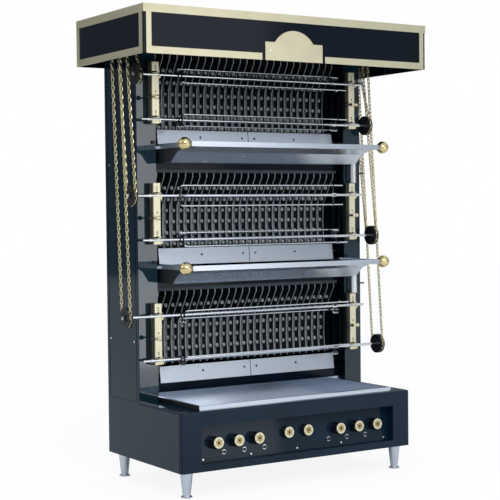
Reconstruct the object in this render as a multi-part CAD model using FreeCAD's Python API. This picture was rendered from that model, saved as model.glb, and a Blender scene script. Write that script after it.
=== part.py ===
import FreeCAD, Part
import math
import os

from FreeCAD import Vector

os.makedirs("parts", exist_ok=True)

# A tall gas wall rotisserie: a base cabinet on four legs, two hollow uprights, three tiers of
# cast radiants, six chain driven spits, two drip trays, a bottom pan and an overhanging hood.
# Millimetres. +X is the right side seen from the front, +Y the back, +Z up.
# The origin is on the floor under the middle of the cabinet.

# Overall sizes
body_width = 1124.0
body_depth = 620.0
hood_overhang = 123.0
leg_height = 101.0
base_height = 237.0
hood_bottom = 1714.0
hood_height = 188.0
hood_setback = 33.0
sheet = 3.0
fit_gap = 0.3
bearing_gap = 0.08
past = 1.0

# Uprights
upright_width = 89.0
upright_setback = 340.0
groove_width = 4.5
groove_depth = 2.0
corner_rebate = 2.0
side_border = 18.0
side_seam_z = 1062.0
seam_lap = 10.0
base_corner = 12.0
base_edge = 7.0

# Tiers and spits
tier_count = 3
tier_pitch = 488.0
first_spit_z = 689.0
spit_pitch = 180.0
spit_standoff = 30.0
spit_radius = 6.0
spit_idle_overhang = 62.0

# Chain wheels and chains
wheel_radius = 42.0
wheel_thickness = 18.0
wheel_root_radius = 30.4
wheel_flange = 3.5
wheel_side_gap = 1.5
wheel_plane_step = 30.0
chain_inner_radius = 31.0
chain_depth = 10.0
chain_width = 10.0
drive_axle_z = 1768.0
left_drive_behind = 64.0
right_drive_behind = 94.0
drive_shaft_radius = 8.0
bearing_half = 14.0
bearing_thickness = 6.0
bearing_inset = 1.0
gear_half = 30.0
gear_drop = 20.0

# Forks
fork_radius = 42.0
fork_tine_radius = 3.0
fork_left_inset = 112.0
fork_right_inset = 99.0
fork_hub_radius = 10.0
fork_hub_length = 22.0
fork_collar_radius = 12.0
fork_collar_length = 6.0
fork_collar_pitch = 14.0
fork_bend = 14.0
fork_tail = 52.0
fork_hook_rise = 6.0
fork_hook_radius = 4.5
wing_length = 26.0
wing_reach = 10.0
wing_thickness = 3.0
wing_stem = 8.0
wing_stem_radius = 3.5
rest_angles = (75.0, 64.0, -49.0, 0.0, 60.0, -43.0)

# Spit brackets
bracket_inset = 71.0
bracket_width = 31.0
bracket_block = 25.0
block_shift = 10.0
bracket_plate = 12.0
bracket_above = 51.0
bracket_below = 17.0
bracket_mouth_rise = 21.0
bracket_hole_radius = 3.2
bracket_hole_up = 33.0
bracket_middle_hole_up = 22.0
bracket_slot_width = 3.0
bracket_slot_length = 9.0
bracket_slot_low_up = 24.0
bracket_slot_high_up = 22.0
bracket_mark_depth = 3.0
hook_thickness = 5.0
hook_reach = 12.0
hook_half = 15.0
collar_thickness = 5.0
collar_play = 2.0
collar_rise = 3.0
lock_pin_radius = 3.5
lock_black_offset = 34.0
lock_brass_offset_left = 2.0
lock_brass_offset_right = 17.5
lock_pin_out = 9.5
lock_boss_half = 6.0
lock_boss_front = 5.0
black_ball_radius = 10.0
brass_ball_radius = 9.0
barrel_radius = 16.0
barrel_height = 82.0
barrel_offset = 15.0
barrel_back_gap = 6.0
barrel_up = 3.0
barrel_ribs = 4
barrel_rib = 4.0
barrel_rib_out = 1.5
barrel_foot_half = 9.0
barrel_foot_inset = 8.0
lever_length = 40.0
lever_radius = 3.5
lever_hub_radius = 6.0
lever_hub = 10.0
lever_wing = 24.0
lever_wing_radius = 3.0

# Radiant castings and burner covers
cast_side_gap = 9.0
cast_per_tier = 3
fins_per_casting = 9
fin_thickness = 4.0
cast_gap = 1.0
cast_bottom_above_spit = -36.0
cast_height = 325.0
top_bar = 13.0
cast_behind_spit = 75.0
cast_depth = 115.0
fin_lean = 75.0
fin_shoulder = 18.0
fin_slope = 115.0
fin_belly = 4.0
fin_belly_up = 90.0
cast_back_plate = 6.0
cover_height = 68.0
cover_lean = 9.0
cover_behind_spit = 69.0
cover_side_gap = 32.0
cover_seam = 3.0
cover_sheet = 2.0
wall_lap = 6.0
cover_hole_radius = 5.0
cover_hole_near = 31.0
cover_hole_mid = 236.0
cover_hole_up = 39.0
burner_radius = 15.0
burner_back = 46.0
burner_gap = 6.0
burner_end_gap = 42.0
feed_radius = 6.0
riser_inset = 80.0
riser_radius = 8.0
riser_play = 2.0
fitting_width = 20.0
manifold_fitting_width = 26.0
rail_height = 30.0
rail_low_up = 30.0
rail_top_down = 60.0
hood_lap = 60.0

# Drip trays
tray_side_gap = 13.0
tray_reach = 240.0
tray_lip = 20.0
tray_flange = 58.0
tray_slope_run = 110.0
tray_fold_run = 60.0
tray_fold_drop = 18.0
tray_depth = 77.0
tray_behind_spit = 58.0
tray_back_height = 44.0
tray_sheet = 2.5
tray_below_spit = 278.0
tray_arm_height = 12.0
tray_arm_play = 0.6
tray_arm_start = 4.0
tray_arm_end_gap = 20.0
runner_ledge = 4.0
runner_width = 9.0
runner_start = 6.0
runner_end_gap = 12.0
notch_play = 4.0
tray_knob_out = 14.0
tray_knob_radius = 26.0
tray_neck_radius = 5.0
tray_lug_out = 14.0
tray_lug = 14.0

# Bottom pan
pan_side_gap = 1.0
pan_front_inset = 15.0
pan_behind_spit = 62.0
pan_rim = 17.5
pan_back_rim = 31.0
pan_sunk = 26.0
pan_sheet = 2.5
pan_rim_width = 14.0
pan_rim_band = 12.0
pan_foot_inset = 4.0

# Control recess, knobs and igniter buttons
recess_half = 473.0
recess_bottom = 130.0
recess_top = 278.0
recess_depth_top = 48.0
recess_depth_bottom = 35.0
knob_group = 3
knob_first = 201.0
knob_pitch = 95.3
knob_z = 204.0
switch_x = 47.5
switch_z = 211.0
switch_height = 12.0
knob_radius = 22.5
knob_skirt_radius = 25.0
knob_skirt = 5.0
knob_height = 27.0
knob_taper = 2.5
knob_edge = 0.5
knob_bar_over = 1.0
knob_lift = 2.5
knob_dish_radius = 14.0
knob_dish_depth = 2.2
knob_face = 4.0
knob_bar_width = 6.0
spindle_radius = 4.0
spindle_length = 16.0
button_shift = 42.0
button_z = 163.0
button_radius = 7.0
button_head = 7.0
button_stem = 14.0
bezel_radius = 9.5
bezel_height = 3.5
valve_length = 46.0
valve_width = 26.0
manifold_radius = 11.0
manifold_drop = 28.0

# Legs
leg_inset = 48.0
leg_top_radius = 25.5
leg_foot_radius = 15.0
leg_flange_radius = 22.5
leg_flange = 5.0

# Hood trim and badge
trim_sheet = 2.5
trim_top = 32.0
trim_bottom = 27.0
trim_upright = 22.0
trim_front_gap = 9.0
trim_side_gap = 14.0
cornice_width = 3.0
badge_half = 140.0
badge_shoulder = 73.0
badge_spring = 94.0
badge_rise = 50.0
badge_sheet = 4.0
badge_border = 6.0
badge_recess = 1.5
badge_clearance = 14.0
badge_screw_x = 113.0
badge_screw_up = 38.0

# Screws
screw_radius = 4.5
screw_head = 2.5
side_screw_in = 35.0
side_screw_up = 246.0
panel_screws = 5
panel_screw_inset = 27.0
panel_screw_up = 12.0
panel_screw_radius = 3.5

# Worked out from the sizes above
half_body = body_width / 2
half_hood = half_body + hood_overhang
front_y = -body_depth / 2
back_y = body_depth / 2
base_top = leg_height + base_height
face_y = front_y + upright_setback
inner_x = half_body - upright_width
hood_top = hood_bottom + hood_height
hood_front = front_y + hood_setback
spit_y = face_y - spit_standoff
fork_grip = (spit_radius + fork_hub_radius) / 2
left_drive_y = spit_y + left_drive_behind
right_drive_y = spit_y + right_drive_behind
cast_front_y = spit_y + cast_behind_spit
fin_waist_y = cast_front_y + fin_lean
cast_back_y = cast_front_y + cast_depth
cast_half_length = inner_x - cast_side_gap
cover_front_y = spit_y + cover_behind_spit
cover_half_length = inner_x - cover_side_gap
burner_y = cover_front_y + burner_back
burner_end = inner_x - burner_end_gap
riser_x = half_body - upright_width / 2
riser_y = back_y - riser_inset
tray_front_y = spit_y - tray_reach
tray_back_y = spit_y + tray_behind_spit
tray_half_length = inner_x - tray_side_gap
tray_knob_x = inner_x + tray_knob_out
tray_lug_x = inner_x + tray_lug_out
pan_front_y = front_y + pan_front_inset
pan_back_y = spit_y + pan_behind_spit
pan_half_length = inner_x - pan_side_gap
wheel_plane_first = half_body + wheel_side_gap + wheel_thickness / 2
shaft_start = half_body - upright_width / 3
shaft_end = wheel_plane_first + (tier_count - 1) * wheel_plane_step + wheel_thickness
panel_run = recess_depth_top - recess_depth_bottom
panel_angle = math.degrees(math.atan2(panel_run, recess_top - recess_bottom))
outer_knobs = [knob_first + n * knob_pitch for n in range(knob_group)]
knob_x = [-x for x in reversed(outer_knobs)] + [-switch_x, switch_x] + outer_knobs
outer_buttons = [x - button_shift for x in outer_knobs]
button_x = [-x for x in reversed(outer_buttons)] + outer_buttons
plate_front = face_y - bracket_block - bracket_plate
bracket_x = half_body - bracket_inset
fork_left_x = bracket_x - fork_left_inset
fork_right_x = bracket_x - fork_right_inset
spit_z = []
for tier in range(tier_count):
    upper = first_spit_z + tier * tier_pitch
    spit_z.append(upper - spit_pitch)
    spit_z.append(upper)


def box(x0, x1, y0, y1, z0, z1):
    """A block between two corners."""
    return Part.makeBox(x1 - x0, y1 - y0, z1 - z0, Vector(x0, y0, z0))


def rod(start, end, radius):
    """A round bar from start to end."""
    run = Vector(*end).sub(Vector(*start))
    return Part.makeCylinder(radius, run.Length, Vector(*start), run)


def profile(points, x0, x1):
    """A closed outline in the YZ plane, drawn out from x0 to x1."""
    corners = [Vector(x0, y, z) for y, z in points]
    face = Part.Face(Part.makePolygon(corners + corners[:1]))
    return face.extrude(Vector(x1 - x0, 0, 0))


def mirrored(shape):
    """The same piece on the other side of the middle plane."""
    return shape.mirror(Vector(0, 0, 0), Vector(1, 0, 0))


def both_sides(shape):
    """A piece on the right and its mirror image on the left."""
    return [shape, mirrored(shape)]


def fuse(shapes):
    """One solid from touching solids."""
    return shapes[0].multiFuse(shapes[1:]).removeSplitter()


def save(name, shapes):
    """Write the solids of one named piece to its own file."""
    Part.makeCompound(shapes).exportStep("parts/" + name + ".step")


def fillet_edges(shape, radius, wanted):
    """Round the edges whose middle point passes the wanted test."""
    edges = []
    for edge in shape.Edges:
        middle = edge.valueAt((edge.FirstParameter + edge.LastParameter) / 2)
        if wanted(middle):
            edges.append(edge)
    return shape.makeFillet(radius, edges)


def spun(points):
    """A closed outline of radius and height pairs, turned about the Z axis."""
    corners = [Vector(radius, 0, height) for radius, height in points]
    face = Part.Face(Part.makePolygon(corners + corners[:1]))
    return face.revolve(Vector(0, 0, 0), Vector(0, 0, 1), 360)


def base_cabinet():
    """Sheet cabinet with a rounded front, a control opening and a well for the pan."""
    front_part = box(-half_body, half_body, front_y, face_y, leg_height, base_top)

    def at_front_corner(middle):
        return abs(middle.y - front_y) < fit_gap and abs(abs(middle.x) - half_body) < fit_gap

    def at_top(middle):
        return abs(middle.z - base_top) < fit_gap and middle.y < face_y - past

    front_part = fillet_edges(front_part, base_corner, at_front_corner)
    front_part = fillet_edges(front_part, base_edge, at_top)
    rear_part = box(-half_body, half_body, face_y, back_y, leg_height, base_top)
    outer = front_part.fuse(rear_part).removeSplitter()
    inner = box(-half_body + sheet, half_body - sheet, front_y + sheet, back_y - sheet,
                leg_height + sheet, base_top - sheet)
    opening = box(-recess_half, recess_half, front_y - past, front_y + sheet + past,
                  recess_bottom, recess_top)
    edge = pan_rim_width - pan_sheet - past
    well = box(-pan_half_length + edge, pan_half_length - edge, pan_front_y + edge,
               pan_back_y + past, base_top - sheet - past, base_top + past)
    cuts = [inner, opening, well]
    seam_y = front_y + base_corner + sheet
    groove = box(half_body - groove_depth, half_body + past, seam_y, seam_y + groove_width,
                 leg_height - past, base_top - base_edge)
    cuts += both_sides(groove)
    cuts += both_sides(rod((riser_x, riser_y, base_top - sheet - past),
                           (riser_x, riser_y, base_top + past), riser_radius + riser_play))
    return [outer.cut(Part.makeCompound(cuts))]


def panel_y(z):
    """Depth of the leaning control panel's face at a height."""
    share = (z - recess_bottom) / (recess_top - recess_bottom)
    return front_y + recess_depth_bottom + share * panel_run


def on_panel(shape, x, z):
    """Stand a piece drawn along +Z square on the control panel at x, z."""
    placed = shape.copy()
    placed.rotate(Vector(0, 0, 0), Vector(1, 0, 0), 90 - panel_angle)
    placed.translate(Vector(x, panel_y(z), z))
    return placed


def control_panel():
    """A recessed tray behind the opening, with a leaning face and bored holes."""
    start = front_y + sheet
    low = recess_bottom - sheet
    high = recess_top + sheet
    outer = profile([(start, low), (start, high), (panel_y(high) + sheet, high),
                     (panel_y(low) + sheet, low)], -recess_half - sheet, recess_half + sheet)
    hollow = profile([(start - past, recess_bottom), (start - past, recess_top),
                      (panel_y(recess_top), recess_top),
                      (panel_y(recess_bottom), recess_bottom)],
                     -recess_half, recess_half)
    bores = []
    for x in knob_x:
        bores.append(panel_bore(spindle_radius, x, knob_level(x)))
    for x in button_x:
        bores.append(panel_bore(button_radius, x, button_z))
    return [outer.cut(hollow).cut(Part.makeCompound(bores))]


def panel_bore(radius, x, z):
    """A hole through the panel with running clearance for a round stem."""
    hole = Part.makeCylinder(radius + bearing_gap, 4 * sheet, Vector(0, 0, -2 * sheet))
    return on_panel(hole, x, z)


def knob_level(x):
    """Height of a knob on the panel: the two motor switches stand a little higher."""
    return switch_z if abs(x) < knob_first else knob_z


def knob(x):
    """Black body on a steel spindle, with a dished brass face and a grip bar."""
    height = switch_height if abs(x) < knob_first else knob_height
    level = knob_level(x)
    skirt = Part.makeCylinder(knob_skirt_radius, knob_skirt, Vector(0, 0, knob_lift))
    body_start = knob_lift + knob_skirt
    body = Part.makeCone(knob_radius, knob_radius - knob_taper, height,
                         Vector(0, 0, body_start))
    spindle = Part.makeCylinder(spindle_radius, spindle_length + knob_lift + past,
                                Vector(0, 0, -spindle_length))
    black = fuse([skirt, body, spindle])
    top = body_start + height
    floor = top + knob_face - knob_dish_depth
    disc = Part.makeCylinder(knob_radius - knob_edge, knob_face, Vector(0, 0, top))
    dish = Part.makeCylinder(knob_dish_radius, knob_dish_depth + past, Vector(0, 0, floor))
    bar_half = knob_dish_radius + knob_bar_over
    bar = Part.makeBox(2 * bar_half, knob_bar_width, knob_dish_depth,
                       Vector(-bar_half, -knob_bar_width / 2, floor))
    face = disc.cut(dish).fuse(bar).removeSplitter()
    return [on_panel(black, x, level), on_panel(face, x, level)]


def igniter_button(x):
    """A round push button whose stem passes through the panel."""
    head = Part.makeCylinder(button_radius, button_head + button_stem,
                             Vector(0, 0, -button_stem))
    return [on_panel(head, x, button_z)]


def igniter_bezels():
    """Chrome collars that guide the igniter buttons."""
    rings = []
    for x in button_x:
        ring = Part.makeCylinder(bezel_radius, bezel_height)
        bore = Part.makeCylinder(button_radius + bearing_gap, bezel_height + 2 * past,
                                 Vector(0, 0, -past))
        rings.append(on_panel(ring.cut(bore), x, button_z))
    return rings


def legs():
    """Four tapered legs with a round flange on the floor."""
    solids = []
    for side in (-1, 1):
        for y in (front_y + leg_inset, back_y - leg_inset):
            x = side * (half_body - leg_inset)
            cone = Part.makeCone(leg_foot_radius, leg_top_radius, leg_height - leg_flange,
                                 Vector(x, y, leg_flange))
            flange = Part.makeCylinder(leg_flange_radius, leg_flange, Vector(x, y, 0))
            solids.append(fuse([cone, flange]))
    return solids


def upright(drive_y):
    """The right hand hollow column, with seam grooves on its outer side."""
    outer = box(inner_x, half_body, face_y, back_y - sheet, base_top, hood_top - 2 * sheet)
    hollow = box(inner_x + sheet, half_body - sheet, face_y + sheet, back_y - 2 * sheet,
                 base_top + sheet, hood_top - 3 * sheet)
    shell = outer.cut(hollow)
    side = half_body - groove_depth
    top = hood_bottom + seam_lap
    cuts = []
    for y in (face_y + side_border, back_y - side_border - groove_width):
        cuts.append(box(side, half_body + past, y, y + groove_width, base_top - past, top))
    cuts.append(box(side, half_body + past, face_y + side_border, back_y - side_border,
                    side_seam_z, side_seam_z + groove_width))
    cuts.append(box(half_body - corner_rebate, half_body + past, face_y - past,
                    face_y + corner_rebate, base_top - past, top))
    cuts.append(box(side, half_body + past, face_y - past, back_y, base_top - past,
                    base_top + groove_width))
    cuts.append(rod((half_body - 2 * sheet, drive_y, drive_axle_z),
                    (half_body + past, drive_y, drive_axle_z),
                    drive_shaft_radius + bearing_gap))
    cuts.append(rod((riser_x, riser_y, base_top - past),
                    (riser_x, riser_y, base_top + sheet + past), riser_radius + riser_play))
    for z in burner_levels():
        cuts.append(rod((inner_x - past, burner_y, z), (inner_x + sheet + past, burner_y, z),
                        feed_radius + fit_gap))
    return shell.cut(Part.makeCompound(cuts))


def tier_floor(tier):
    """Lowest level of a tier's radiant castings."""
    return first_spit_z - spit_pitch + tier * tier_pitch + cast_bottom_above_spit


def burner_levels():
    """Heights of the burner tubes, one level for each tier."""
    return [tier_floor(tier) - cover_height / 2 for tier in range(tier_count)]


def back_panel():
    """Rear sheet, cross rails and the enamelled walls between the uprights."""
    solids = [box(-half_body, half_body, back_y - sheet, back_y, base_top,
                  hood_bottom + hood_lap)]
    wall_y = cover_front_y + cover_sheet + cover_lean * wall_lap / cover_height
    for tier in range(tier_count):
        floor = tier_floor(tier)
        for z in (floor + rail_low_up, floor + cast_height - rail_top_down):
            solids.append(box(-inner_x, inner_x, cast_back_y, back_y - sheet, z,
                              z + rail_height))
        low = base_top if tier == 0 else tier_floor(tier - 1) + cast_height
        high = floor - cover_height + wall_lap
        wall = box(-inner_x, inner_x, wall_y, wall_y + sheet, low, high)
        if tier > 0:
            notch = box(tray_half_length - notch_play, inner_x + past, wall_y - past,
                        wall_y + sheet + past, runner_top(tier) - runner_ledge, high + past)
            wall = wall.cut(Part.makeCompound(both_sides(notch)))
        solids.append(wall)
    return solids


def radiant_castings():
    """Cast plates with upright fins that curve away behind the spits."""
    solids = []
    length = 2 * cast_half_length / cast_per_tier
    width = length - cast_gap
    pitch = width / fins_per_casting
    for tier in range(tier_count):
        floor = tier_floor(tier)
        roof = floor + cast_height
        shoulder = roof - top_bar - fin_shoulder
        for n in range(cast_per_tier):
            start = -cast_half_length + n * length + cast_gap / 2
            outline = [(cast_front_y, roof), (cast_front_y, shoulder),
                       (fin_waist_y, shoulder - fin_slope),
                       (fin_waist_y + fin_belly, floor + fin_belly_up),
                       (fin_waist_y - fin_belly, floor),
                       (cast_back_y, floor), (cast_back_y, roof)]
            block = profile(outline, start, start + width)
            slots = []
            for gap in range(fins_per_casting + 1):
                middle = start + gap * pitch
                half = (pitch - fin_thickness) / 2
                slots.append(box(middle - half, middle + half, cast_front_y - past,
                                 cast_back_y - cast_back_plate, floor - past, roof - top_bar))
            solids.append(block.cut(Part.makeCompound(slots)))
    return solids


def burners():
    """Leaning stainless covers below each tier's castings, with the burner tubes behind."""
    solids = []
    for tier in range(tier_count):
        top = tier_floor(tier) - fit_gap
        low = tier_floor(tier) - cover_height
        outline = [(cover_front_y, low), (cover_front_y + cover_lean, top),
                   (cover_front_y + cover_lean + cover_sheet, top),
                   (cover_front_y + cover_sheet, low)]
        strip = profile(outline, cover_seam / 2, cover_half_length)
        holes = []
        for x in (cover_hole_near, cover_hole_mid):
            holes.append(rod((x, cover_front_y - past, low + cover_hole_up),
                             (x, burner_y, low + cover_hole_up), cover_hole_radius))
        solids += both_sides(strip.cut(Part.makeCompound(holes)))
        z = burner_levels()[tier]
        solids += both_sides(rod((burner_gap, burner_y, z), (burner_end, burner_y, z),
                                 burner_radius))
    return solids


def cube(x, y, z, size):
    """A square pipe fitting_width round a point."""
    half = size / 2
    return box(x - half, x + half, y - half, y + half, z - half, z + half)


def gas_pipework():
    """Manifold, taps, risers and the feeds to the burner tubes."""
    manifold_z = knob_z - manifold_drop
    manifold_y = panel_y(knob_z) + sheet + valve_length / 2
    top = burner_levels()[-1]
    pieces = [rod((-riser_x, manifold_y, manifold_z), (riser_x, manifold_y, manifold_z),
                  manifold_radius)]
    for side in (-1, 1):
        x = side * riser_x
        pieces.append(cube(x, manifold_y, manifold_z, manifold_fitting_width))
        pieces.append(rod((x, manifold_y, manifold_z), (x, riser_y, manifold_z), riser_radius))
        pieces.append(cube(x, riser_y, manifold_z, fitting_width))
        pieces.append(rod((x, riser_y, manifold_z), (x, riser_y, top), riser_radius))
        for z in burner_levels():
            pieces.append(cube(x, riser_y, z, fitting_width))
            pieces.append(rod((x, riser_y, z), (x, burner_y, z), feed_radius))
            elbow = box(inner_x + sheet, riser_x + fitting_width / 2, burner_y - fitting_width / 2,
                        burner_y + fitting_width / 2, z - fitting_width / 2, z + fitting_width / 2)
            pieces.append(elbow if side > 0 else mirrored(elbow))
            pieces.append(rod((x, burner_y, z), (side * burner_end, burner_y, z),
                              feed_radius))
    half = valve_width / 2
    drop = half + manifold_drop
    bores = []
    for x in knob_x:
        lower = drop + knob_level(x) - knob_z
        body = Part.makeBox(valve_width, half + lower, valve_length,
                            Vector(-half, -lower, -sheet - valve_length))
        pieces.append(on_panel(body, x, knob_level(x)))
        bore = Part.makeCylinder(spindle_radius + bearing_gap, spindle_length + past,
                                 Vector(0, 0, -spindle_length - past))
        bores.append(on_panel(bore, x, knob_level(x)))
    return [fuse(pieces).cut(Part.makeCompound(bores))]


def seat_cut(x0, x1, z):
    """Room for a spit in its open bracket: a round seat with a mouth to the front."""
    seat = spit_radius + bearing_gap
    front = plate_front - hook_reach
    mouth = profile([(spit_y, z - seat), (spit_y, z + seat),
                     (front, z + seat + bracket_mouth_rise), (front, z + past)], x0, x1)
    return rod((x0, spit_y, z), (x1, spit_y, z), seat).fuse(mouth)


def bracket_blocks():
    """Black blocks that carry the brass spit brackets."""
    solids = []
    half = bracket_width / 2
    for tier in range(tier_count):
        low = spit_z[2 * tier] - bracket_below
        high = spit_z[2 * tier + 1] + bracket_above
        for centre in (-bracket_x, bracket_x):
            left = centre - half - block_shift
            right = centre + half - block_shift
            block = box(left, right, face_y - bracket_block, face_y, low, high)
            cuts = [seat_cut(left - past, right + past, z)
                    for z in spit_z[2 * tier:2 * tier + 2]]
            solids.append(block.cut(Part.makeCompound(cuts)))
    return solids


def spit_brackets():
    """Brass bars with open seats and side hooks that carry the spits."""
    solids = []
    half = bracket_width / 2
    for tier in range(tier_count):
        lower = spit_z[2 * tier]
        upper = spit_z[2 * tier + 1]
        low = lower - bracket_below
        high = upper + bracket_above
        for centre in (-bracket_x, bracket_x):
            plate = box(centre - half, centre + half, plate_front, face_y - bracket_block,
                        low, high)
            x = centre + half
            cuts = []
            for z in (lower, upper):
                hook = box(x, x + hook_thickness, spit_y - hook_reach, face_y,
                           z - hook_half, z + hook_half)
                plate = plate.fuse(hook)
                cuts.append(seat_cut(centre - half - past, x + hook_thickness + past, z))
            middle = (lower + upper) / 2
            for z in (lower + bracket_hole_up, middle + bracket_middle_hole_up,
                      upper + bracket_hole_up):
                cuts.append(rod((centre, plate_front - past, z),
                                (centre, plate_front + bracket_mark_depth, z),
                                bracket_hole_radius))
            slot = bracket_slot_length / 2
            for z in (lower + bracket_slot_low_up, upper + bracket_slot_high_up):
                cuts.append(box(centre - slot, centre + slot, plate_front - past,
                                plate_front + bracket_mark_depth, z,
                                z + bracket_slot_width))
            solids.append(plate.cut(Part.makeCompound(cuts)))
    return solids


def lock_pins():
    """Locking pins across the brackets, each with a black and a brass ball end."""
    solids = []
    y = plate_front - lock_pin_out
    half = lock_boss_half
    for tier in range(tier_count):
        z = (spit_z[2 * tier] + spit_z[2 * tier + 1]) / 2
        for centre in (-bracket_x, bracket_x):
            reach = lock_brass_offset_left if centre < 0 else lock_brass_offset_right
            boss = box(centre - half, centre + half, y - lock_boss_front, plate_front,
                       z - half, z + half)
            pin = ball_pin(centre - lock_black_offset, centre + reach, y, z)
            solids.append(fuse([pin, boss]))
    return solids


def ball_pin(black, brass, y, z):
    """A round pin along X with a ball on each end, turned from one outline."""
    neck_black = black + math.sqrt(black_ball_radius**2 - lock_pin_radius**2)
    neck_brass = brass - math.sqrt(brass_ball_radius**2 - lock_pin_radius**2)
    start = Vector(black - black_ball_radius, y, z)
    end = Vector(brass + brass_ball_radius, y, z)
    first = Vector(neck_black, y, z + lock_pin_radius)
    second = Vector(neck_brass, y, z + lock_pin_radius)
    edges = [Part.Arc(start, Vector(black, y, z + black_ball_radius), first).toShape(),
             Part.LineSegment(first, second).toShape(),
             Part.Arc(second, Vector(brass, y, z + brass_ball_radius), end).toShape(),
             Part.LineSegment(end, start).toShape()]
    face = Part.Face(Part.Wire(edges))
    return face.revolve(Vector(0, y, z), Vector(1, 0, 0), 360)


def catch_barrels():
    """Ribbed steel barrels above the right hand brackets, each with a wing lever."""
    solids = []
    x = bracket_x + barrel_offset
    y = face_y - barrel_radius - barrel_back_gap
    pitch = barrel_height / barrel_ribs
    outline = [(0, 0)]
    for rib in range(barrel_ribs):
        low = rib * pitch
        outline += [(barrel_radius + barrel_rib_out, low),
                    (barrel_radius + barrel_rib_out, low + barrel_rib),
                    (barrel_radius, low + barrel_rib), (barrel_radius, low + pitch)]
    outline.append((0, barrel_height))
    for tier in range(tier_count - 1):
        low = spit_z[2 * tier + 1] + bracket_above + barrel_up
        barrel = spun(outline)
        barrel.translate(Vector(x, y, low))
        foot = box(x - barrel_foot_half, x + barrel_foot_half, y + barrel_radius / 2, face_y,
                   low + barrel_foot_inset, low + barrel_height - barrel_foot_inset)
        solids.append(fuse([barrel, foot]))
        lever_z = low + barrel_height / 2
        lever_x = x + barrel_radius + barrel_rib_out + fit_gap
        arm_x = lever_x + lever_hub / 2
        hub = rod((lever_x, y, lever_z), (lever_x + lever_hub, y, lever_z), lever_hub_radius)
        arm = rod((arm_x, y, lever_z), (lever_x + lever_length, y, lever_z), lever_radius)
        wing = rod((arm_x, y, lever_z), (arm_x, y, lever_z + lever_wing), lever_wing_radius)
        solids.append(fuse([hub, arm, wing]))
    return solids


def wheel(x, y, z):
    """A grooved chain wheel on an axis along X, centred on x."""
    half = wheel_thickness / 2
    groove = half - wheel_flange
    disc = rod((x - half, y, z), (x + half, y, z), wheel_radius)
    ring = rod((x - groove, y, z), (x + groove, y, z), wheel_radius + past)
    core = rod((x - groove, y, z), (x + groove, y, z), wheel_root_radius)
    return disc.cut(ring.cut(core))


def driven_side(index):
    """Side of a spit's chain wheel: odd spits of the count run on the left."""
    return -1 if index % 2 == 1 else 1


def wheel_plane(index):
    """Distance of a spit's chain wheel from the middle plane."""
    place = tier_count - 1 - index // 2
    return wheel_plane_first + place * wheel_plane_step


def drive_y(side):
    """Depth of the drive shaft in the hood on one side."""
    return left_drive_y if side < 0 else right_drive_y


def turned(shape, index):
    """Turn a fork to the angle at which it rests."""
    shape.rotate(Vector(0, spit_y, spit_z[index]), Vector(1, 0, 0), rest_angles[index])
    return shape


def spit_shaft(index):
    """A long round shaft with a collar on each side of each bracket."""
    side = driven_side(index)
    z = spit_z[index]
    drive_end = side * (wheel_plane(index) + wheel_thickness / 2)
    idle_end = -side * (bracket_x + spit_idle_overhang)
    pieces = [rod((drive_end, spit_y, z), (idle_end, spit_y, z), spit_radius)]
    half = bracket_width / 2
    for centre in (-bracket_x, bracket_x):
        right = centre + half + hook_thickness + collar_play
        left = centre - half - block_shift - collar_play - collar_thickness
        for x in (left, right):
            pieces.append(rod((x, spit_y, z), (x + collar_thickness, spit_y, z),
                              spit_radius + collar_rise))
    return [fuse(pieces)]


def spit_wheel(index):
    """The chain wheel keyed to a spit's driven end."""
    x = driven_side(index) * wheel_plane(index)
    z = spit_z[index]
    return [wheel(x, spit_y, z).cut(rod((x - wheel_thickness, spit_y, z),
                                        (x + wheel_thickness, spit_y, z), spit_radius))]


def spit_fork(index):
    """A double fork: bent cross arms, two long tines and clamped hubs."""
    z = spit_z[index]
    left = -fork_left_x
    right = fork_right_x
    pieces = []
    for x in (left, right):
        pieces.append(rod((x - fork_hub_length / 2, spit_y, z),
                          (x + fork_hub_length / 2, spit_y, z), fork_hub_radius))
        stem = spit_y - fork_hub_radius - wing_stem
        pieces.append(rod((x, spit_y - fork_grip, z), (x, stem, z), wing_stem_radius))
        pieces.append(box(x - wing_length / 2, x + wing_length / 2, stem - wing_reach, stem,
                          z - wing_thickness / 2, z + wing_thickness / 2))
    for way in (-1, 1):
        x = left + way * fork_collar_pitch / 2
        pieces.append(rod((x - fork_collar_length / 2, spit_y, z),
                          (x + fork_collar_length / 2, spit_y, z), fork_collar_radius))
        pieces += fork_tine(left, right, z, way)
    bore = rod((left - fork_tail, spit_y, z), (right + fork_tail, spit_y, z), spit_radius)
    return [turned(fuse(pieces).cut(bore), index)]


def fork_tine(left, right, z, way):
    """One tine with its rounded bend, its left arm and the hooked arm on the right."""
    tip = z + way * fork_radius
    start = left + fork_bend
    bend_z = tip - way * fork_bend
    middle = Vector(left + fork_bend * (1 - math.sqrt(0.5)), spit_y,
                    bend_z + way * fork_bend * math.sqrt(0.5))
    arc = Part.Arc(Vector(left, spit_y, bend_z), middle, Vector(start, spit_y, tip))
    ring = Part.makeCircle(fork_tine_radius, Vector(start, spit_y, tip), Vector(1, 0, 0))
    bend = Part.Wire(arc.toShape()).makePipeShell([Part.Wire(ring)], True, False)
    return [bend,
            rod((start, spit_y, tip), (right + fork_tail, spit_y, tip), fork_tine_radius),
            rod((left, spit_y, z + way * fork_grip), (left, spit_y, bend_z),
                fork_tine_radius),
            rod((right, spit_y, z + way * fork_grip),
                (right, spit_y, tip + way * fork_hook_rise),
                fork_hook_radius)]


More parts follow.
